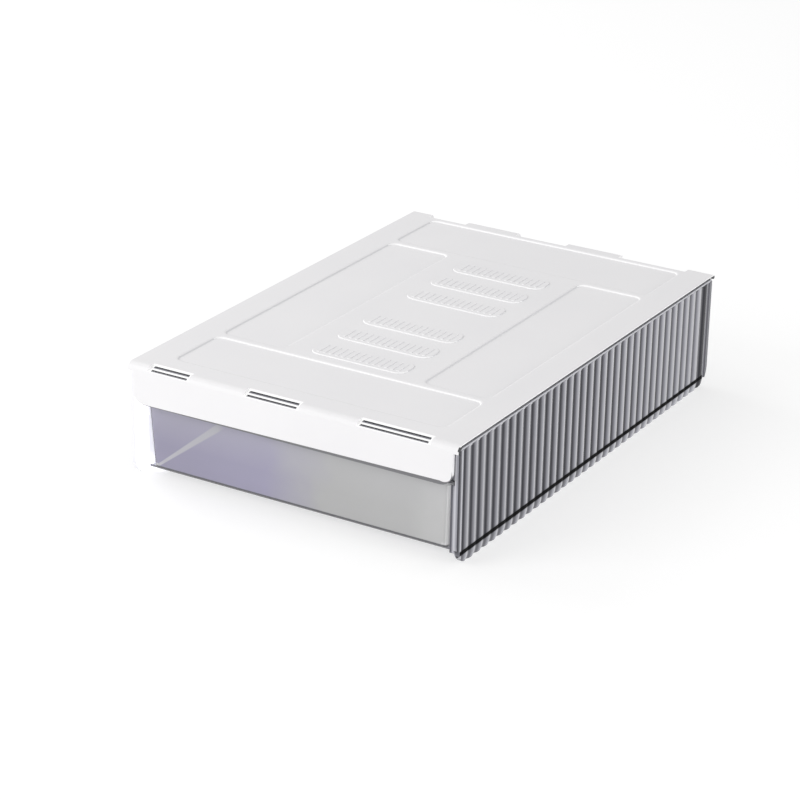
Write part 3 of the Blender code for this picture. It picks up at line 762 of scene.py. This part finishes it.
at_front = add_node(
    tree, "ShaderNodeMath", {0: axes.outputs["Y"], 1: face_depth.outputs["Result"]}, operation="LESS_THAN"
)
print("the front rib stands back", 1000 * RIB_SETBACK, "mm")

# %% Colour and gloss of the side plates
GLOW_REACH = 0.020
GLOW_FADE = 0.004
FLOW_MM = 25
SKIN_MM = 4
SKIN_DEPTH = 0.0002
SKIN_STRENGTH = 0.1
GLOSSIEST_SIDE, DULLEST_SIDE = 0.12, 0.22

# The outer face first, each layer over the ones before it, all painted light and shade: the margin, the paler
# foot, the rear stretch, the black base line and the pale top edge.
OUTER_LAYERS = (
    (in_margin, margin.outputs["Color"]),
    (paler.outputs[0], linear(FOOT_PALE)),
    (in_stretch, stretch.outputs["Color"]),
    (base_line.outputs[0], linear(EDGE_BLACK)),
    (top_edge, linear(TOP_EDGE_GREY)),
)
paint = stripes.outputs[2]
for mask, over in OUTER_LAYERS:
    paint = add_node(tree, "ShaderNodeMix", {0: mask, 6: paint, 7: over}, data_type="RGBA").outputs[2]
inside_out = add_node(
    tree, "ShaderNodeMix", {0: outside, 6: inside.outputs[2], 7: paint}, data_type="RGBA"
)
with_front = add_node(
    tree,
    "ShaderNodeMix",
    {0: at_front.outputs[0], 6: inside_out.outputs[2], 7: face_colour.outputs[2]},
    data_type="RGBA",
)
# A painted glow: the left plate's inner face glows near the front.
unlit = add_node(tree, "ShaderNodeMath", {0: outside, 1: at_right}, operation="MAXIMUM")
near_front = band(tree, axes.outputs["Y"], -FAR, PLATE_FRONT + GLOW_REACH, GLOW_FADE)
lit_inside = add_node(
    tree, "ShaderNodeMath", {0: near_front, 1: unlit.outputs[0]}, operation="SUBTRACT", use_clamp=True
)
glow = add_node(
    tree,
    "ShaderNodeMix",
    {0: lit_inside.outputs[0], 6: linear("#000000"), 7: linear(INSIDE_LEFT)},
    data_type="RGBA",
)
flow = add_node(tree, "ShaderNodeTexNoise", {"Vector": place, "Scale": per_bump(FLOW_MM), "Detail": 2.0})
gloss = add_node(
    tree,
    "ShaderNodeMapRange",
    {"Value": flow.outputs["Fac"], "To Min": GLOSSIEST_SIDE, "To Max": DULLEST_SIDE},
)
dull = add_node(tree, "ShaderNodeMath", {0: behind_base, 1: gloss.outputs["Result"]}, operation="MAXIMUM")
skin = add_node(tree, "ShaderNodeTexNoise", {"Vector": place, "Scale": per_bump(SKIN_MM), "Detail": 2.0})
bump = add_node(
    tree,
    "ShaderNodeBump",
    {"Height": skin.outputs["Fac"], "Strength": SKIN_STRENGTH, "Distance": SKIN_DEPTH},
)
tree.links.new(glow.outputs[2], shader.inputs["Emission Color"])
tree.links.new(with_front.outputs[2], shader.inputs["Base Color"])
tree.links.new(dull.outputs[0], shader.inputs["Roughness"])
tree.links.new(bump.outputs["Normal"], shader.inputs["Normal"])
dress("side_plate_right", side_san)
dress("side_plate_left", side_san)

# %% [markdown]
# ## The tray: clear styrene that looks frosted
#
# The tray is the same clear styrene with less tint. It looks milky, as slightly etched faces do. The front's
# left half is cooler in the photograph, perhaps because the case's grey wall stands behind it, so the front's
# colour is painted cooler and darker at the left and lighter towards the right, and paler towards the rim. A
# clear moulding is darkest where it is seen edge-on, so its left front corner and the bend at its foot are
# painted dark, and the inner corners along its sides get painted highlights. The right front corner has a
# faint painted glow, as if light that runs inside the walls came out there. Such frosting is finer than a
# millimetre and is drawn at 2 mm.

# %% Frosted clear styrene
# The front's colour from its left end to its right end, with light and shade painted in: cooler and darker at
# the left, lighter towards the right.
TRAY_COLOURS = [
    (0.0, "#BAB6CE"),
    (0.4, "#C6C2DC"),
    (0.5, "#D0CEDC"),
    (0.6, "#DCDCDC"),
    (0.85, "#E2E2E2"),
    (1.0, "#F2F2F2"),
]
TRAY_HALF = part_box("drawer_tray")[1].x
TRAY_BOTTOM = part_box("drawer_tray")[0].z
CORNER_LIGHT = 0.22
TINT_DRIFT = 0.03
TINT_SHIFT = 0.015
FROST_MM = 2
FROST_DEPTH = 0.0002
FROST_STRENGTH = 0.15
GLOSSIEST_TRAY, DULLEST_TRAY = 0.08, 0.16

tray_san, tree, shader = plastic(
    "Clear styrene, lightly frosted tray",
    {"IOR": 1.57, "Metallic": 0.0, "Transmission Weight": 0.5, "Emission Strength": CORNER_LIGHT},
)
place = add_node(tree, "ShaderNodeTexCoord").outputs["Object"]
axes = add_node(tree, "ShaderNodeSeparateXYZ", {"Vector": place})
flow = add_node(tree, "ShaderNodeTexNoise", {"Vector": place, "Scale": per_bump(FLOW_MM), "Detail": 2.0})
drift = add_node(
    tree,
    "ShaderNodeMath",
    {0: flow.outputs["Fac"], 1: TINT_DRIFT, 2: axes.outputs["X"]},
    operation="MULTIPLY_ADD",
)
across_tray = add_node(
    tree,
    "ShaderNodeMapRange",
    {"Value": drift.outputs[0], "From Min": TINT_SHIFT - TRAY_HALF, "From Max": TINT_SHIFT + TRAY_HALF},
)
tint = add_node(tree, "ShaderNodeValToRGB", {"Fac": across_tray.outputs["Result"]}, TRAY_COLOURS)
gloss = add_node(
    tree,
    "ShaderNodeMapRange",
    {"Value": flow.outputs["Fac"], "To Min": GLOSSIEST_TRAY, "To Max": DULLEST_TRAY},
)
frost = add_node(tree, "ShaderNodeTexNoise", {"Vector": place, "Scale": per_bump(FROST_MM), "Detail": 3.0})
bump = add_node(
    tree,
    "ShaderNodeBump",
    {"Height": frost.outputs["Fac"], "Strength": FROST_STRENGTH, "Distance": FROST_DEPTH},
)
tree.links.new(gloss.outputs["Result"], shader.inputs["Roughness"])
tree.links.new(bump.outputs["Normal"], shader.inputs["Normal"])
print("the tray's foot is at z =", round(1000 * TRAY_BOTTOM, 1), "mm")

# %% Where the tray's faces are
# The walls lean out with height, so the leaning is taken off first. What is left is the distance at floor
# level.
TRAY_DRAFT = math.tan(math.radians(2.8))
SIDE_AT_FLOOR = 0.1087
FRONT_AT_FLOOR = 0.1674
FRONT_SKIN = 0.0026

beside = add_node(tree, "ShaderNodeMath", {0: axes.outputs["X"]}, operation="ABSOLUTE").outputs[0]
upright = add_node(
    tree,
    "ShaderNodeMath",
    {0: axes.outputs["Z"], 1: -TRAY_DRAFT, 2: beside},
    operation="MULTIPLY_ADD",
).outputs[0]
forward = add_node(tree, "ShaderNodeMath", {0: axes.outputs["Y"], 1: -1.0}, operation="MULTIPLY")
leaning = add_node(
    tree,
    "ShaderNodeMath",
    {0: axes.outputs["Z"], 1: -TRAY_DRAFT, 2: forward.outputs[0]},
    operation="MULTIPLY_ADD",
).outputs[0]
at_front = band(tree, leaning, FRONT_AT_FLOOR - FRONT_SKIN, FAR, FIRM)
left_half = band(tree, axes.outputs["X"], -FAR, 0, BLURRED)
print("the walls lean", round(math.degrees(math.atan(TRAY_DRAFT)), 1), "degrees")

# %% Painted shade and light at the tray's edges and corners
CORNER_WIDTH = 0.0018
FOOT_HEIGHT = 0.0026
INNER_CORNER = (0.0036, 0.0012)
INNER_CORNER_HEIGHTS = (0.0012, 0.0042)
RIM_PALE_FROM, RIM_PALE_TO = 0.026, 0.054
RIM_PALE_SHARE = 0.35
OUTER_CORNER = 0.0012
CORNER_REACH = 0.0045
CORNER_GLOW_FOOT = 0.003
CORNER_GLOW_TOP = 0.050

corner_line = band(tree, upright, SIDE_AT_FLOOR - CORNER_WIDTH, FAR, FIRM)
at_corner = add_node(tree, "ShaderNodeMath", {0: corner_line, 1: left_half}, operation="MULTIPLY").outputs[0]
at_foot = band(tree, axes.outputs["Z"], -FAR, TRAY_BOTTOM + FOOT_HEIGHT, SOFT)
edge = add_node(tree, "ShaderNodeMath", {0: at_corner, 1: at_foot}, operation="MAXIMUM")
front_edge = add_node(tree, "ShaderNodeMath", {0: edge.outputs[0], 1: at_front}, operation="MULTIPLY")
inner_corner = add_node(
    tree,
    "ShaderNodeMath",
    {
        0: band(tree, upright, SIDE_AT_FLOOR - INNER_CORNER[0], SIDE_AT_FLOOR - INNER_CORNER[1], FIRM),
        1: band(
            tree,
            axes.outputs["Z"],
            TRAY_BOTTOM + INNER_CORNER_HEIGHTS[0],
            TRAY_BOTTOM + INNER_CORNER_HEIGHTS[1],
            SOFT,
        ),
    },
    operation="MULTIPLY",
)
# Painted light: the tray is painted paler towards its rim.
to_rim = add_node(
    tree,
    "ShaderNodeMapRange",
    {
        "Value": axes.outputs["Z"],
        "From Min": RIM_PALE_FROM,
        "From Max": RIM_PALE_TO,
        "To Min": 0.0,
        "To Max": RIM_PALE_SHARE,
    },
)
near_corner = add_node(
    tree,
    "ShaderNodeMath",
    {
        0: band(tree, upright, SIDE_AT_FLOOR - OUTER_CORNER, FAR, SOFT),
        1: band(tree, leaning, FRONT_AT_FLOOR - CORNER_REACH, FAR, SOFT),
    },
    operation="MULTIPLY",
)
below_rim = add_node(
    tree,
    "ShaderNodeMath",
    {
        0: near_corner.outputs[0],
        1: band(tree, axes.outputs["Z"], TRAY_BOTTOM + CORNER_GLOW_FOOT, CORNER_GLOW_TOP, BLURRED),
    },
    operation="MULTIPLY",
)
lit_corner = add_node(
    tree, "ShaderNodeMath", {0: below_rim.outputs[0], 1: left_half}, operation="SUBTRACT", use_clamp=True
)
print("the dark foot is", 1000 * FOOT_HEIGHT, "mm high")

# %% [markdown]
# ## The inner corner that shines through the front
#
# Through the left part of the front, the photograph shows the tray's inner corner as a pale slanting streak.
# It is drawn on the front here, as a thin wedge between two points, so it travels with the tray. A true
# corner would slide across the front as one walks round.

# %% The streak
STREAK_FOOT = (-0.1041, 0.0108)
STREAK_TOP = (-0.0573, 0.0479)
STREAK_HALF_WIDTHS = (0.0008, 0.0022)
STREAK_CORE = 0.8
STREAK_FADE = 0.5
STREAK_END_FADE = 0.005

rise = math.atan2(STREAK_TOP[1] - STREAK_FOOT[1], STREAK_TOP[0] - STREAK_FOOT[0])
streak_level = STREAK_FOOT[1] * math.cos(rise) - STREAK_FOOT[0] * math.sin(rise)
climb = add_node(
    tree, "ShaderNodeMath", {0: axes.outputs["X"], 1: -math.sin(rise)}, operation="MULTIPLY"
)
off_streak = add_node(
    tree,
    "ShaderNodeMath",
    {0: axes.outputs["Z"], 1: math.cos(rise), 2: climb.outputs[0]},
    operation="MULTIPLY_ADD",
).outputs[0]
half_width = add_node(
    tree,
    "ShaderNodeMapRange",
    {
        "Value": axes.outputs["X"],
        "From Min": STREAK_FOOT[0],
        "From Max": STREAK_TOP[0],
        "To Min": STREAK_HALF_WIDTHS[0],
        "To Max": STREAK_HALF_WIDTHS[1],
    },
)
aside = add_node(tree, "ShaderNodeMath", {0: off_streak, 1: -streak_level}, operation="ADD")
share = add_node(
    tree, "ShaderNodeMath", {0: aside.outputs[0], 1: half_width.outputs["Result"]}, operation="DIVIDE"
)
streak_room = {
    0: band(tree, share.outputs[0], -STREAK_CORE, STREAK_CORE, STREAK_FADE),
    1: band(tree, axes.outputs["X"], STREAK_FOOT[0], STREAK_TOP[0], STREAK_END_FADE),
}
streak = add_node(tree, "ShaderNodeMath", streak_room, operation="MULTIPLY")
streak_on_front = add_node(tree, "ShaderNodeMath", {0: streak.outputs[0], 1: at_front}, operation="MULTIPLY")
print("the streak climbs at", round(math.degrees(rise), 1), "degrees")

# %% Colour of the tray
TRAY_PLAIN = "#D6D5DB"
# Each layer covers the ones before it where its mask holds: the front's painted tint, painted light towards
# the rim, painted highlights in the inner corners, the painted streak, and painted shade at the left front
# corner and along the foot.
TRAY_LAYERS = (
    (at_front, tint.outputs["Color"]),
    (to_rim.outputs["Result"], linear("#F4F4F8")),
    (inner_corner.outputs[0], linear("#FFFFFF")),
    (streak_on_front.outputs[0], linear("#E0DFE6")),
    (front_edge.outputs[0], linear("#727277")),
)
paint = linear(TRAY_PLAIN)
for mask, over in TRAY_LAYERS:
    paint = add_node(tree, "ShaderNodeMix", {0: mask, 6: paint, 7: over}, data_type="RGBA").outputs[2]
# A faint painted glow at the right front corner.
glow = add_node(
    tree,
    "ShaderNodeMix",
    {0: lit_corner.outputs[0], 6: linear("#000000"), 7: linear("#F0F0F0")},
    data_type="RGBA",
)
tree.links.new(glow.outputs[2], shader.inputs["Emission Color"])
tree.links.new(paint, shader.inputs["Base Color"])
dress("drawer_tray", tray_san)

# %% [markdown]
# ## The base and back plates: plain clear styrene
#
# Two flat plates close the case below and behind. They are moulded in the same clear styrene and left
# polished, so they only tint what is seen through them a little. Flow marks about 25 mm apart vary their
# gloss.

# %% Base and back plates
PLATE_TINT = "#DCDCE2"
PLATE_TINT_DEEP = "#D2D2DA"
FLOW_DEPTH = 0.0005
FLOW_STRENGTH = 0.1
GLOSSIEST_PLATE, DULLEST_PLATE = 0.06, 0.12

plate_san, tree, shader = plastic(
    "Clear styrene, flat plate", {"IOR": 1.57, "Metallic": 0.0, "Transmission Weight": 0.7}
)
place = add_node(tree, "ShaderNodeTexCoord").outputs["Object"]
flow = add_node(tree, "ShaderNodeTexNoise", {"Vector": place, "Scale": per_bump(FLOW_MM), "Detail": 2.0})
tint = add_node(
    tree,
    "ShaderNodeMix",
    {0: flow.outputs["Fac"], 6: linear(PLATE_TINT), 7: linear(PLATE_TINT_DEEP)},
    data_type="RGBA",
)
gloss = add_node(
    tree,
    "ShaderNodeMapRange",
    {"Value": flow.outputs["Fac"], "To Min": GLOSSIEST_PLATE, "To Max": DULLEST_PLATE},
)
bump = add_node(
    tree,
    "ShaderNodeBump",
    {"Height": flow.outputs["Fac"], "Strength": FLOW_STRENGTH, "Distance": FLOW_DEPTH},
)
tree.links.new(tint.outputs[2], shader.inputs["Base Color"])
tree.links.new(gloss.outputs["Result"], shader.inputs["Roughness"])
tree.links.new(bump.outputs["Normal"], shader.inputs["Normal"])
dress("base_plate", plate_san)
dress("back_plate", plate_san)

# %% [markdown]
# ## The floor
#
# The drawer stands on plain pale paper, large enough to fill the picture. The paper glows a little, as on a
# light table, and keeps a soft shadow.

# %% Pale floor
FLOOR_SIZE = 12.0
FLOOR_GLOW = 0.6

floor_paint, tree, shader = plastic(
    "Pale studio paper",
    {
        "Base Color": linear("#B4B4B4"),
        "Roughness": 0.9,
        "IOR": 1.45,
        "Specular IOR Level": 0.1,
        "Emission Color": linear("#FFFFFF"),
        "Emission Strength": FLOOR_GLOW,
    },
)
bpy.ops.mesh.primitive_plane_add(size=FLOOR_SIZE)
floor = bpy.context.object
floor.name = "studio_floor"
floor.data.materials.append(floor_paint)
print("the floor is", FLOOR_SIZE, "m wide")

# %% [markdown]
# ## Light
#
# Three soft lights stand around the drawer. The key stands at the front left and whitens the apron. A second
# one at the left grazes the cover, so that the walls of its panels show. A low one at the right lights the
# flutes.

# %% Soft studio light
LIT_POINT = (0, 0, 0.04)
WORLD_STRENGTH = 0.62


def softbox(name, place, size, watts):
    """A square area light that looks at the drawer."""
    lamp = bpy.data.lights.new(name, "AREA")
    lamp.shape = "SQUARE"
    lamp.size = size
    lamp.energy = watts
    made = bpy.data.objects.new(name, lamp)
    scene.collection.objects.link(made)
    made.location = place
    made.rotation_euler = (Vector(LIT_POINT) - Vector(place)).to_track_quat("-Z", "Y").to_euler()
    return made


softbox("key", (-1.0, -1.6, 1.1), 1.2, 16.0)
softbox("left", (-1.7, 0.2, 0.95), 1.2, 11.0)
softbox("fill", (1.8, -0.1, 0.35), 0.8, 12)
world = bpy.data.worlds.new("Studio")
world.use_nodes = True
world.node_tree.nodes["Background"].inputs["Color"].default_value = linear("#FFFFFF")
world.node_tree.nodes["Background"].inputs["Strength"].default_value = WORLD_STRENGTH
scene.world = world
scene.view_settings.view_transform = "Standard"

# %% [markdown]
# ## The camera
#
# The photograph was taken from the front right, a little above, with a long lens. Its angles and its distance
# were worked out from the drawer's corners in the picture, as a surveyor would. Most edges of the front and
# the right side come out within two pixels. The cover's left edge lies up to four pixels too high, and its
# rear edge up to three too low.

# %% Camera
TURN = math.radians(30.82)
LOOK_DOWN = math.radians(22.97)
ROLL = math.radians(1.06)
FOCAL_PIXELS = 2726
PICTURE_PIXELS = 800
SENSOR_MM = 36.0
NEAREST_SEEN = 0.01
CAMERA_PLACE = (0.84524, -1.45986, 0.73493)

ahead = Vector(
    (-math.sin(TURN) * math.cos(LOOK_DOWN), math.cos(TURN) * math.cos(LOOK_DOWN), -math.sin(LOOK_DOWN))
)
right = Vector((math.cos(TURN), math.sin(TURN), 0))
up = right.cross(ahead)
across = right * math.cos(ROLL) + up * math.sin(ROLL)
above = up * math.cos(ROLL) - right * math.sin(ROLL)
view = Matrix((across, above, -ahead)).transposed().to_4x4()
view.translation = CAMERA_PLACE
camera = bpy.data.objects.new("photo_camera", bpy.data.cameras.new("photo_camera"))
scene.collection.objects.link(camera)
camera.matrix_world = view
camera.data.sensor_width = SENSOR_MM
camera.data.lens = FOCAL_PIXELS * SENSOR_MM / PICTURE_PIXELS
camera.data.clip_start = NEAREST_SEEN
scene.camera = camera
print("lens:", round(camera.data.lens, 1), "mm")
